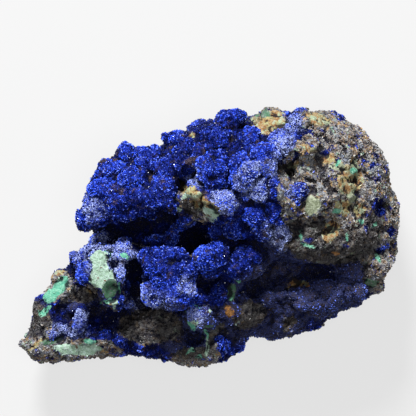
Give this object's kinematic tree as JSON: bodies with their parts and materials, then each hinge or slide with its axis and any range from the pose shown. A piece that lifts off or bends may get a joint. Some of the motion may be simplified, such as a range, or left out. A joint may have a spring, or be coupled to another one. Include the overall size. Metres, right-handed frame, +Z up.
{
  "type": "azurite specimen",
  "caption": "Hand-sized azurite and malachite specimen: knobbly blue crust on rough vein rock, lying on its flat broken back.",
  "frame": {"origin": "middle of the specimen's bounding box seen from above, on the flat back it lies on", "axes": "+Z up from the back to the display side, +X along the length towards the thick rounded end, +Y towards the upper edge of the display side"},
  "size_m": [0.1382, 0.0944, 0.0615],
  "materials": {
    "azurite_rock": "fine crystals, matt with small glints"
  },
  "bodies": {
    "root": {"azurite_specimen": "azurite_rock"}
  },
  "joints": []
}
